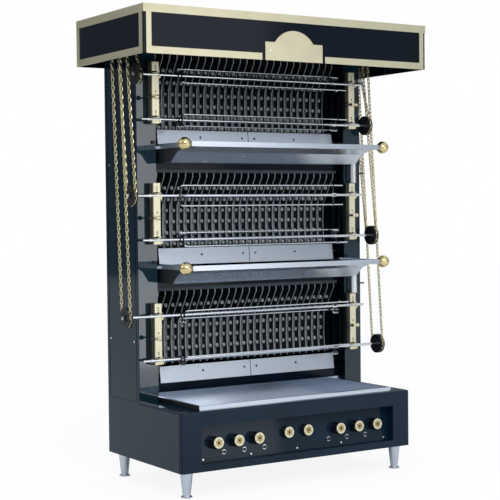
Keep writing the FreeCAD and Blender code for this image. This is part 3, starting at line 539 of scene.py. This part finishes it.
class RotisserieSizes(bpy.types.PropertyGroup):
    """Sizes of the small fittings."""

    link_wire: FloatProperty(
        name="Link wire", description="Thickness of a chain link's wire",
        default=0.0042, min=0.001, max=0.005, unit="LENGTH")
    link_pitch: FloatProperty(
        name="Link pitch", description="Distance between two links of a chain",
        default=0.0165, min=0.01, max=0.03, unit="LENGTH")
    link_width: FloatProperty(
        name="Link width", description="Outer width of a chain link",
        default=0.0145, min=0.006, max=0.02, unit="LENGTH")
    wheel_bolts: IntProperty(
        name="Wheel bolts", description="Bolts in the ring round a wheel's hub",
        default=6, min=3, max=12)
    grips: IntProperty(
        name="Grip ribs", description="Ribs round a knob",
        default=7, min=3, max=16)
    grip_radius: FloatProperty(
        name="Grip radius", description="Radius of a rib on a knob",
        default=0.0062, min=0.002, max=0.008, unit="LENGTH")
    grip_circle: FloatProperty(
        name="Grip circle", description="Distance of the ribs from a knob's axis",
        default=0.0195, min=0.01, max=0.03, unit="LENGTH")
    ear_radius: FloatProperty(
        name="Ear radius", description="Radius of a wing screw's ear",
        default=0.0066, min=0.003, max=0.01, unit="LENGTH")
    ear_wire: FloatProperty(
        name="Ear wire", description="Thickness of a wing screw's ear",
        default=0.003, min=0.001, max=0.005, unit="LENGTH")
    stud_rows: IntProperty(
        name="Stud rows", description="Rows of studs on a radiant casting",
        default=6, min=1, max=10)
    stud_radius: FloatProperty(
        name="Stud radius", description="Radius of a stud on a fin",
        default=0.0085, min=0.002, max=0.012, unit="LENGTH")
    stud_first: FloatProperty(
        name="Lowest studs", description="Height of the lowest row on its casting",
        default=0.014, min=0.0, max=0.1, unit="LENGTH")
    stud_pitch: FloatProperty(
        name="Stud pitch", description="Distance between two rows of studs",
        default=0.0470, min=0.02, max=0.1, unit="LENGTH")
    stud_behind: FloatProperty(
        name="Stud depth", description="Distance of the studs behind a fin's front edge",
        default=0.021, min=0.0, max=0.05, unit="LENGTH")


class RotisserieStudio(bpy.types.PropertyGroup):
    """Camera and lamps."""

    lens: FloatProperty(
        name="Lens", description="Focal length on a 36 mm frame",
        default=96.45, min=20.0, max=300.0)
    eye: FloatVectorProperty(
        name="Eye", description="Where the camera stands",
        subtype="TRANSLATION", size=3, default=(-3.0846, -4.7683, 1.125))
    heading: FloatProperty(
        name="Heading", description="Turn of the view from the back wall's direction",
        subtype="ANGLE", default=math.radians(-32.53))
    tilt: FloatProperty(
        name="Tilt", description="Rise of the view from the horizontal",
        subtype="ANGLE", default=math.radians(-1.81))
    roll: FloatProperty(
        name="Roll", description="Turn of the frame about the view",
        subtype="ANGLE", default=math.radians(-0.57))
    key_power: FloatProperty(
        name="Key power", description="Strength of the large front lamp",
        default=90.0, min=0.0, max=2000.0)
    fill_power: FloatProperty(
        name="Fill power", description="Strength of the side lamp",
        default=14.0, min=0.0, max=2000.0)
    card_power: FloatProperty(
        name="Card power", description="Strength of the card mirrored by the left column",
        default=12.0, min=0.0, max=2000.0)


# The pieces


class ROTISSERIE_OT_finishes(bpy.types.Operator):
    """Give every solid its finish"""
    bl_idname = "rotisserie.finishes"
    bl_label = "Finishes"

    def execute(self, context):
        make_finishes(context.scene.rotisserie_tones)
        inner, front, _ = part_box("right_upright")[0]
        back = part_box("back_panel")[1][1]

        # Inner faces of the columns, which get the darker hood enamel as painted shade.
        def inside(spot):
            return abs(abs(spot.x) - inner) < NEAR

        # Front faces of the columns, which get the lighter enamel as painted light.
        def ahead(spot):
            return spot.y < front + NEAR

        for node in ("base_cabinet", "control_panel"):
            dress(node, "enamel")
        for side, front_finish in (("left", "column_enamel_painted_light"), ("right", "soft_enamel_painted_light")):
            dress(side + "_upright", "enamel", ("hood_enamel_painted_shade", inside),
                  (front_finish, ahead))
        # The back panel's front, inside the cooking space, gets the darker hood enamel as painted
        # shade; its back face gets the cabinet enamel.
        dress("back_panel", "hood_enamel_painted_shade", ("enamel", lambda spot: spot.y > back - NEAR))
        dress("hood_casing", "hood_enamel_painted_shade")
        for node in ("bracket_blocks", "tray_runners", "gear_motors", "left_drive_shaft",
                     "right_drive_shaft"):
            dress(node, "black")
        dress("legs", "legs")
        dress("burners", "cover")
        # Faces within a few millimetres of each end of the pan are drawn near-black with the
        # satin black finish.
        pan_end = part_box("bottom_pan")[1][0] - PAN_END
        dress("bottom_pan", "pan", ("black", lambda spot: abs(spot.x) > pan_end))
        end = -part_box("tray_knobs_upper")[0][0] - TRAY_END
        for name in TRAYS:
            dress("drip_tray_" + name, "sheet",
                  ("end_" + name,
                   lambda spot: abs(spot.x) > end and spot.y < TRAY_ARM_FRONT))
            dress("tray_knobs_" + name, "ball")
        for node in ("igniter_bezels", "screws"):
            dress(node, "rod")
        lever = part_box("catch_barrels")[1][0] - LEVER_REACH
        dress("catch_barrels", "rod", ("knob", lambda spot: spot.x > lever))
        dress("hood_trim", "trim")
        dress("badge", "trim")
        # The walls of the brackets' holes and slots are drawn black as painted shade.
        dress("spit_brackets", "bracket", ("knob", self.mark))
        dress("drive_chains", "chain")
        # The top bars of the castings get the lighter iron as painted light.
        dress("radiant_castings", "iron", ("bar_iron_painted_light", self.top_bar()))
        dress("gas_pipework", "pipe")
        for n in SPITS:
            dress("spit_shaft_%d" % n, "rod")
            dress("spit_fork_%d" % n, "rod", ("dark_steel", self.clamp(n)))
            dress("spit_wheel_%d" % n, "black")
        for n in BUTTONS:
            dress("igniter_button_%d" % n, "knob")
        self.dress_pins()
        self.dress_knobs()
        return {"FINISHED"}

    def mark(self, spot):
        """The walls of the holes and slots in a bracket's face, which get the black knob finish
        as painted shade.
        """
        depth = spot.y - PLATE_FRONT
        shallow, deep = MARK_DEPTHS
        return shallow < depth < deep and abs(abs(spot.x) - BRACKET_X) < MARK_HALF

    def top_bar(self):
        """A test for the bar along the top of each casting."""
        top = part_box("radiant_castings")[1][2]
        rise = spit_height(3) - spit_height(1)

        def at_top(spot):
            level = (top - spot.z) % rise
            return level < TOP_BAR + 0.0005 or level > rise - 0.0005

        return at_top

    def clamp(self, number):
        """A fork's collars and arms, between its hubs and its tines."""
        axis = middle_of("spit_wheel_%d" % number)
        near, far = CLAMP_REACH

        def between(spot):
            return near < math.hypot(spot.y - axis.y, spot.z - axis.z) < far

        return between

    def dress_pins(self):
        """Black for the left part of each lock pin, brass for the rest."""
        low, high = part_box("lock_pins")
        left_black = low[0] + BLACK_BALL
        right_black = high[0] - RIGHT_PIN + BLACK_BALL + PIN_GAP

        def black(spot):
            return spot.x < left_black if spot.x < 0 else spot.x < right_black

        dress("lock_pins", "bracket", ("knob", black))

    def dress_knobs(self):
        """Pale brass for the rim of each knob's dial and darker brass for its dish, the darker
        brass being painted shade.
        """
        for n in KNOBS:
            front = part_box("control_knob_%d" % n)[0][1]
            middle = middle_of("control_knob_%d" % n)

            def dial(spot, front=front, middle=middle):
                lean = (spot.z - middle.z) * DIAL_LEAN
                return spot.y - lean < front + DIAL_DEPTH

            def dish(spot, dial=dial, middle=middle):
                reach = math.hypot(spot.x - middle.x, spot.z - middle.z - DISH_RISE)
                return dial(spot) and reach < DIAL_DISH

            dress("control_knob_%d" % n, "knob", ("bracket", dial), ("dish", dish))


class ROTISSERIE_OT_chains(bpy.types.Operator):
    """Link chains round the spit wheels and the drive wheels"""
    bl_idname = "rotisserie.chains"
    bl_label = "Chains"

    def execute(self, context):
        sizes = context.scene.rotisserie_sizes
        link = self.link(sizes)
        for number in SPITS:
            lower = middle_of("spit_wheel_%d" % number)
            side = "left" if lower.x < 0 else "right"
            drive = middle_of(side + "_drive_shaft")
            upper = Vector((lower.x, drive.y, drive.z))
            places = self.places(lower, upper, CHAIN_RADIUS, sizes.link_pitch)
            chain = copies(link, places)
            smooth(chain, 60.0)
            settle(chain, "chain_%d" % number, "chain", "cabinet")
            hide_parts("drive_chains")
        discard(link)
        return {"FINISHED"}

    def link(self, sizes):
        """One oval link, long along X and lying in the XY plane."""
        pick_nothing()
        wire = sizes.link_wire / 2
        major = sizes.link_width / 2 - wire
        bpy.ops.mesh.primitive_torus_add(major_radius=major, minor_radius=wire,
                                         major_segments=10, minor_segments=5)
        link = bpy.context.object
        link.name = "chain_link"
        reach = sizes.link_pitch / 2 - major + wire
        select_verts(link, lambda spot: spot.x > 1e-6)
        bpy.ops.transform.translate(value=(reach, 0, 0))
        select_verts(link, lambda spot: spot.x < -1e-6)
        bpy.ops.transform.translate(value=(-reach, 0, 0))
        pick(link)
        return link

    def places(self, lower, upper, radius, pitch):
        """Where each link of one loop goes, turned a quarter from its neighbour."""
        run = upper - lower
        length = run.length
        up = run.normalized()
        out = Vector((0, up.z, -up.y))
        turn = math.pi * radius
        total = 2 * length + 2 * turn
        count = 2 * round(total / pitch / 2)
        made = []
        for n in range(count):
            s = total * n / count
            if s < length:
                centre = lower + out * radius + up * s
                along = up
            elif s < length + turn:
                angle = (s - length) / radius
                centre = upper + out * radius * math.cos(angle) + up * radius * math.sin(angle)
                along = up * math.cos(angle) - out * math.sin(angle)
            elif s < 2 * length + turn:
                centre = upper - out * radius - up * (s - length - turn)
                along = -up
            else:
                angle = (s - 2 * length - turn) / radius
                centre = lower - out * radius * math.cos(angle) - up * radius * math.sin(angle)
                along = out * math.sin(angle) - up * math.cos(angle)
            side = Vector((1, 0, 0))
            other = along.cross(side)
            if n % 2:
                side, other = other, -side
            turned = Matrix((along, side, other)).transposed().to_4x4()
            made.append(Matrix.Translation(centre) @ turned)
        return made


class ROTISSERIE_OT_hubs(bpy.types.Operator):
    """Hubs with a ring of bolts on the outer faces of the spit wheels"""
    bl_idname = "rotisserie.hubs"
    bl_label = "Wheel hubs"

    def execute(self, context):
        bolts = context.scene.rotisserie_sizes.wheel_bolts
        ring = self.disc("wheel_hub", 32, 0.015, 0.004, 0.003)
        nut = self.disc("wheel_nut", 6, 0.0085, 0.009, 0.0025)
        bolt = self.disc("wheel_bolt", 8, 0.0032, 0.003, 0.0009)
        for number in SPITS:
            low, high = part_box("spit_wheel_%d" % number)
            centre = middle_of("spit_wheel_%d" % number)
            side = -1 if centre.x < 0 else 1
            face = Vector((low[0] if side < 0 else high[0], centre.y, centre.z))
            stand = Matrix.Translation(face) @ Matrix.Rotation(side * math.pi / 2, 4, "Y")
            spots = []
            for n in range(bolts):
                turn = Matrix.Rotation(2 * math.pi * n / bolts, 4, "Z")
                spots.append(stand @ turn @ Matrix.Translation((BOLT_CIRCLE, 0, 0)))
            body = "spit_%d" % number
            hub = copies(ring, [stand])
            smooth(hub)
            settle(hub, "wheel_hub_%d" % number, "black", body)
            settle(copies(nut, [stand]), "wheel_nut_%d" % number, "rod", body)
            heads = copies(bolt, spots)
            smooth(heads)
            settle(heads, "wheel_bolts_%d" % number, "dark_steel", body)
        for model in (ring, nut, bolt):
            discard(model)
        return {"FINISHED"}

    def disc(self, name, corners, radius, height, slope):
        """A disc standing on z = 0 with its upper edge drawn in."""
        disc = cylinder(name, corners, radius, height)
        select_faces(disc, lambda face: face.normal.z > 0.9)
        bpy.ops.mesh.inset(thickness=slope)
        bpy.ops.transform.translate(value=(0, 0, slope / 3))
        bpy.ops.mesh.inset(thickness=slope)
        bpy.ops.transform.translate(value=(0, 0, -slope / 3))
        pick(disc)
        return disc


class ROTISSERIE_OT_dials(bpy.types.Operator):
    """Black eyes and teeth on the knobs' brass dials, painted shade standing in for each dial's
    centre hole and notches
    """
    bl_idname = "rotisserie.dials"
    bl_label = "Dial marks"

    def execute(self, context):
        mark = self.mark()
        for number in KNOBS:
            centre, _, stand = knob_front(number)
            eye = copies(mark, [Matrix.Translation(centre) @ stand])
            smooth(eye)
            # The black eye and teeth are painted shade for the dial's hole and notches.
            settle(eye, "dial_mark_%d" % number, "knob", "knob_%d" % number)
        discard(mark)
        return {"FINISHED"}

    def mark(self):
        """A low black eye with a key slot, painted shade for a dial's centre hole, drawn in the
        XY plane.
        """
        mark = cylinder("dial_painted_shade", 24, 0.0048, 0.0006)
        select_faces(mark, lambda face: face.normal.z > 0.9)
        bpy.ops.mesh.inset(thickness=0.0012)
        bpy.ops.transform.translate(value=(0, 0, 0.0004))
        bpy.ops.mesh.extrude_region_move(TRANSFORM_OT_translate={"value": (0, 0, 0.0005)})
        pick(mark)
        teeth = []
        for n in range(6):
            turn = Matrix.Rotation(2 * math.pi * (n + 0.5) / 6, 4, "Z")
            shrink = Matrix.Diagonal((0.28, 0.28, 1.0, 1.0))
            teeth.append(turn @ Matrix.Translation((0.0172, 0, 0)) @ shrink)
        small = copies(mark, teeth)
        whole = copies(mark, [Matrix.Identity(4)])
        pick_nothing()
        small.select_set(True)
        whole.select_set(True)
        bpy.context.view_layer.objects.active = whole
        bpy.ops.object.join()
        discard(mark)
        return whole


class ROTISSERIE_OT_grips(bpy.types.Operator):
    """Rounded grip ribs round the knobs' black bodies"""
    bl_idname = "rotisserie.grips"
    bl_label = "Knob grips"

    def execute(self, context):
        sizes = context.scene.rotisserie_sizes
        for number in KNOBS:
            centre, axis, stand = knob_front(number)
            height = SHORT_GRIP if abs(centre.x) < MIDDLE_KNOBS else LONG_GRIP
            foot = Matrix.Translation(centre - axis * (DIAL_FACE + height)) @ stand
            rib = self.rib(sizes.grip_radius, height)
            places = []
            for n in range(sizes.grips):
                turn = Matrix.Rotation(2 * math.pi * n / sizes.grips, 4, "Z")
                places.append(foot @ turn @ Matrix.Translation((sizes.grip_circle, 0, 0)))
            ribs = copies(rib, places)
            smooth(ribs)
            settle(ribs, "knob_grips_%d" % number, "knob", "knob_%d" % number)
            discard(rib)
        return {"FINISHED"}

    def rib(self, radius, height):
        """One upright rib with a rounded end."""
        rib = cylinder("grip_rib", 16, radius, height)
        select_faces(rib, lambda face: face.normal.z > 0.9)
        bpy.ops.mesh.inset(thickness=radius * 0.3)
        bpy.ops.transform.translate(value=(0, 0, radius * 0.3))
        pick(rib)
        return rib


class ROTISSERIE_OT_wings(bpy.types.Operator):
    """Wire ears on the wing screws that clamp the forks"""
    bl_idname = "rotisserie.wings"
    bl_label = "Wing screws"

    def execute(self, context):
        sizes = context.scene.rotisserie_sizes
        ear = self.ear(sizes.ear_radius, sizes.ear_wire)
        for number in SPITS:
            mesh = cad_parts["spit_fork_%d" % number].data
            axis = middle_of("spit_wheel_%d" % number)
            places = []
            for clamp in (-FORK_LEFT, FORK_RIGHT):
                way = self.way(mesh, axis, clamp)
                across = Vector((1, 0, 0))
                stand = Matrix((across, way, across.cross(way))).transposed().to_4x4()
                for side in (-1, 1):
                    spot = Vector((clamp + side * sizes.ear_radius, axis.y, axis.z))
                    spot += way * (WING_TIP - sizes.ear_wire)
                    places.append(Matrix.Translation(spot) @ stand)
            ears = copies(ear, places)
            smooth(ears, 60.0)
            settle(ears, "fork_wings_%d" % number, "rod", "spit_%d" % number)
        discard(ear)
        return {"FINISHED"}

    def way(self, mesh, axis, clamp):
        """The direction from a spit's axis to a clamp's flat wing."""
        total = Vector()
        for vert in mesh.vertices:
            out = Vector((0, vert.co.y - axis.y, vert.co.z - axis.z))
            if abs(abs(vert.co.x - clamp) - WING_HALF) < NEAR / 2 and out.length < WING_REACH:
                total += out
        return total.normalized()

    def ear(self, radius, wire):
        """A round wire ear in the XY plane, drawn out a little along Y."""
        pick_nothing()
        bpy.ops.mesh.primitive_torus_add(major_radius=radius, minor_radius=wire / 2,
                                         major_segments=16, minor_segments=8)
        ear = bpy.context.object
        ear.name = "wing_ear"
        select_verts(ear, lambda spot: spot.y > 0.0005)
        bpy.ops.transform.translate(value=(0, radius * 0.4, 0))
        pick(ear)
        return ear


class ROTISSERIE_OT_bracket_screws(bpy.types.Operator):
    """Black screw heads on the brass brackets, above each spit"""
    bl_idname = "rotisserie.bracket_screws"
    bl_label = "Bracket screws"

    def execute(self, context):
        head = self.head()
        places = []
        for number in SPITS:
            for side in (-1, 1):
                z = spit_height(number) + BRACKET_SCREW_UP
                places.append(Matrix.Translation((side * BRACKET_X, PLATE_FRONT, z)))
        heads = copies(head, places)
        smooth(heads)
        settle(heads, "bracket_screws", "knob", "cabinet")
        discard(head)
        return {"FINISHED"}

    def head(self):
        """A low domed head that faces the front."""
        head = cylinder("bracket_screw", 16, 0.0046, 0.0014, (0, -0.0007, 0),
                        (math.pi / 2, 0, 0))
        select_faces(head, lambda face: face.normal.y < -0.9)
        bpy.ops.mesh.inset(thickness=0.0014)
        bpy.ops.transform.translate(value=(0, -0.0008, 0))
        pick(head)
        return head


class ROTISSERIE_OT_studs(bpy.types.Operator):
    """Rows of cast studs on the radiants' fins"""
    bl_idname = "rotisserie.studs"
    bl_label = "Radiant studs"

    def execute(self, context):
        sizes = context.scene.rotisserie_sizes
        low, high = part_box("radiant_castings")
        stud = self.stud(sizes.stud_radius)
        length = (high[0] - low[0] + CASTING_GAP) / CASTINGS
        pitch = (length - CASTING_GAP) / FINS
        rise = spit_height(3) - spit_height(1)
        for tier in range(TIERS):
            floor = low[2] + rise * tier
            places = []
            for slot in range(CASTINGS * FINS):
                casting, step = divmod(slot, FINS)
                x = low[0] + casting * length + (step + 0.5) * pitch - FIN / 2
                for row in range(sizes.stud_rows):
                    height = sizes.stud_first + sizes.stud_pitch * row
                    y = low[1] + fin_edge(height) + sizes.stud_behind
                    places.append(Matrix.Translation((x, y, floor + height)))
            studs = copies(stud, places)
            smooth(studs, 50.0)
            # The studs' pale grey finish is a painted highlight.
            settle(studs, "radiant_studs_%d" % (tier + 1), "stud", "cabinet")
        discard(stud)
        return {"FINISHED"}

    def stud(self, radius):
        """A low dome standing on a fin's left face."""
        stud = cylinder("radiant_stud", 10, radius, 0.006, (-0.003, 0, 0),
                        (0, -math.pi / 2, 0))
        select_faces(stud, lambda face: face.normal.x < -0.9)
        bpy.ops.mesh.inset(thickness=radius * 0.25)
        bpy.ops.transform.translate(value=(-0.003, 0, 0))
        bpy.ops.mesh.inset(thickness=radius * 0.35)
        bpy.ops.transform.translate(value=(-0.0015, 0, 0))
        pick(stud)
        return stud


class ROTISSERIE_OT_stage(bpy.types.Operator):
    """Floor, lamps and camera"""
    bl_idname = "rotisserie.stage"
    bl_label = "Stage"

    def execute(self, context):
        studio = context.scene.rotisserie_studio
        self.floor()
        self.world(context.scene)
        self.lamp("key lamp", (-1.6, -4.6, 3.6), (0.0, 0.0, 1.0), (2.6, 2.2),
                  studio.key_power)
        self.lamp("side lamp", (-4.2, 1.6, 2.6), (-0.4, 0.0, 1.3), (1.2, 1.6),
                  studio.fill_power)
        self.lamp("left card", (1.2, -3.6, 1.3), (-0.5, 0.0, 1.2), (1.5, 2.6),
                  studio.card_power)
        self.camera(context.scene, studio)
        context.scene.view_settings.view_transform = "Standard"
        return {"FINISHED"}

    def floor(self):
        """A pale floor that keeps the shadow."""
        pick_nothing()
        bpy.ops.mesh.primitive_plane_add(size=30.0, location=(0, 0, 0))
        floor = bpy.context.object
        floor.name = "pale_floor"
        f = Finish("pale floor")
        seen = f.node("ShaderNodeLightPath", out="Is Camera Ray")
        mirror = f.node("ShaderNodeLightPath", out="Is Glossy Ray")
        cloud = f.noise(2.0, 2.0, 0.5)
        tone = f.mix(cloud, (0.84, 0.84, 0.84, 1.0), (0.88, 0.88, 0.88, 1.0))
        plain = f.node("ShaderNodeBsdfDiffuse", {}, {"Color": tone})
        light = f.node("ShaderNodeEmission", {}, {"Color": (1, 1, 1, 1), "Strength": 1.05})
        both = f.node("ShaderNodeMixShader", {}, {0: seen * 0.85 + mirror * 0.1, 1: plain,
                                                  2: light})
        f.node_end(both)
        floor.data.materials.append(f.material)

    def world(self, scene):
        """White behind the object, a room that pales towards its ceiling elsewhere."""
        world = bpy.data.worlds.new("studio room")
        scene.world = world
        world.use_nodes = True
        nodes = world.node_tree.nodes
        links = world.node_tree.links
        nodes.clear()
        path = nodes.new("ShaderNodeLightPath")
        white = nodes.new("ShaderNodeBackground")
        white.inputs["Color"].default_value = (1, 1, 1, 1)
        way = nodes.new("ShaderNodeTexCoord")
        parts = nodes.new("ShaderNodeSeparateXYZ")
        links.new(way.outputs["Generated"], parts.inputs[0])
        front = nodes.new("ShaderNodeMapRange")
        front.interpolation_type = "SMOOTHSTEP"
        front.inputs["From Min"].default_value = -0.5
        front.inputs["From Max"].default_value = 0.5
        front.inputs["To Min"].default_value = 0.5
        front.inputs["To Max"].default_value = 0.16
        links.new(parts.outputs["Y"], front.inputs["Value"])
        rise = nodes.new("ShaderNodeMapRange")
        rise.interpolation_type = "SMOOTHSTEP"
        rise.inputs["From Min"].default_value = 0.05
        rise.inputs["From Max"].default_value = 0.75
        rise.inputs["To Max"].default_value = 0.85
        links.new(parts.outputs["Z"], rise.inputs["Value"])
        links.new(front.outputs[0], rise.inputs["To Min"])
        room = nodes.new("ShaderNodeBackground")
        room.inputs["Color"].default_value = (0.86, 0.93, 1.0, 1)
        links.new(rise.outputs[0], room.inputs["Strength"])
        both = nodes.new("ShaderNodeMixShader")
        end = nodes.new("ShaderNodeOutputWorld")
        links.new(path.outputs["Is Camera Ray"], both.inputs[0])
        links.new(room.outputs[0], both.inputs[1])
        links.new(white.outputs[0], both.inputs[2])
        links.new(both.outputs[0], end.inputs["Surface"])

    def lamp(self, name, place, target, size, power):
        """A soft rectangular lamp that points at a spot."""
        data = bpy.data.lights.new(name, "AREA")
        data.shape = "RECTANGLE"
        data.size = size[0]
        data.size_y = size[1]
        data.energy = power
        lamp = bpy.data.objects.new(name, data)
        bpy.context.scene.collection.objects.link(lamp)
        lamp.location = place
        away = Vector(target) - Vector(place)
        lamp.rotation_euler = away.to_track_quat("-Z", "Y").to_euler()

    def camera(self, scene, studio):
        """The photograph's viewpoint."""
        data = bpy.data.cameras.new("camera")
        data.lens = studio.lens
        data.sensor_width = 36.0
        camera = bpy.data.objects.new("camera", data)
        scene.collection.objects.link(camera)
        ahead = Vector((-math.sin(studio.heading) * math.cos(studio.tilt),
                        math.cos(studio.heading) * math.cos(studio.tilt),
                        math.sin(studio.tilt)))
        right = Vector((math.cos(studio.heading), math.sin(studio.heading), 0))
        up = right.cross(ahead)
        c = math.cos(studio.roll)
        s = math.sin(studio.roll)
        right_rolled = right * c + up * s
        up_rolled = up * c - right * s
        turned = Matrix((right_rolled, up_rolled, -ahead)).transposed().to_4x4()
        camera.matrix_world = Matrix.Translation(Vector(studio.eye)) @ turned
        data.clip_end = 100.0
        scene.camera = camera


class ROTISSERIE_PT_panel(bpy.types.Panel):
    """Lists the rotisserie's steps"""
    bl_idname = "ROTISSERIE_PT_panel"
    bl_label = "Rotisserie"
    bl_space_type = "VIEW_3D"
    bl_region_type = "UI"
    bl_category = "Rotisserie"

    def draw(self, context):
        scene = context.scene
        for group in (scene.rotisserie_tones, scene.rotisserie_sizes,
                      scene.rotisserie_studio):
            box = self.layout.box()
            for name in group.__annotations__:
                box.prop(group, name)
        for step in STEPS:
            self.layout.operator(step.bl_idname)


STEPS = (
    ROTISSERIE_OT_finishes,
    ROTISSERIE_OT_chains,
    ROTISSERIE_OT_hubs,
    ROTISSERIE_OT_dials,
    ROTISSERIE_OT_grips,
    ROTISSERIE_OT_wings,
    ROTISSERIE_OT_bracket_screws,
    ROTISSERIE_OT_studs,
    ROTISSERIE_OT_stage,
)
GROUPS = (RotisserieTones, RotisserieSizes, RotisserieStudio)


def register():
    for item in GROUPS + STEPS + (ROTISSERIE_PT_panel,):
        bpy.utils.register_class(item)
    bpy.types.Scene.rotisserie_tones = PointerProperty(type=RotisserieTones)
    bpy.types.Scene.rotisserie_sizes = PointerProperty(type=RotisserieSizes)
    bpy.types.Scene.rotisserie_studio = PointerProperty(type=RotisserieStudio)


def unregister():
    del bpy.types.Scene.rotisserie_studio
    del bpy.types.Scene.rotisserie_sizes
    del bpy.types.Scene.rotisserie_tones
    for item in reversed(GROUPS + STEPS + (ROTISSERIE_PT_panel,)):
        bpy.utils.unregister_class(item)


def main():
    """Build the dressed rotisserie."""
    register()
    bpy.ops.rotisserie.finishes()
    bpy.ops.rotisserie.chains()
    bpy.ops.rotisserie.hubs()
    bpy.ops.rotisserie.dials()
    bpy.ops.rotisserie.grips()
    bpy.ops.rotisserie.wings()
    bpy.ops.rotisserie.bracket_screws()
    bpy.ops.rotisserie.studs()
    bpy.ops.rotisserie.stage()
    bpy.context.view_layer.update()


if __name__ == "__main__":
    main()
